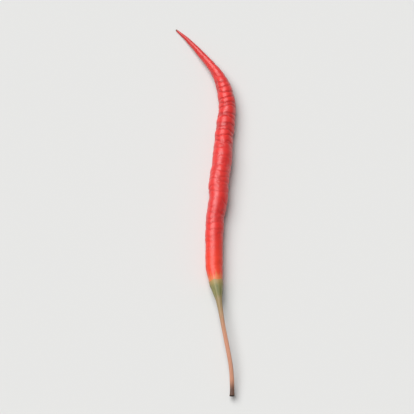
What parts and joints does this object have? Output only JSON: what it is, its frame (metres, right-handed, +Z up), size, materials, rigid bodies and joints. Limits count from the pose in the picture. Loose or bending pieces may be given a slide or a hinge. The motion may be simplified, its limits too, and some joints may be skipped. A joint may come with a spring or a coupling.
{
  "type": "chilli pepper",
  "caption": "Long thin curly red chilli as picked, lying down: a tapering wrinkled pod with a hooked fine tip, a ribbed green calyx gripping its base, and a thin curved stalk.",
  "frame": {"origin": "on the surface it lies on, under the middle of the whole chilli's bounding box", "axes": "+Z up; +Y along the chilli, towards the pod's tip, with the stalk towards -Y; the tip hooks towards -X"},
  "size_m": [0.0308, 0.2088, 0.0109],
  "materials": {
    "pod_skin": "waxy gloss, finely wrinkled across",
    "calyx_green": "matte fresh plant tissue",
    "stalk_green": "matte, faintly ridged plant tissue"
  },
  "bodies": {
    "root": {"pod": "pod_skin", "calyx": "calyx_green", "stalk": "stalk_green"}
  },
  "joints": []
}
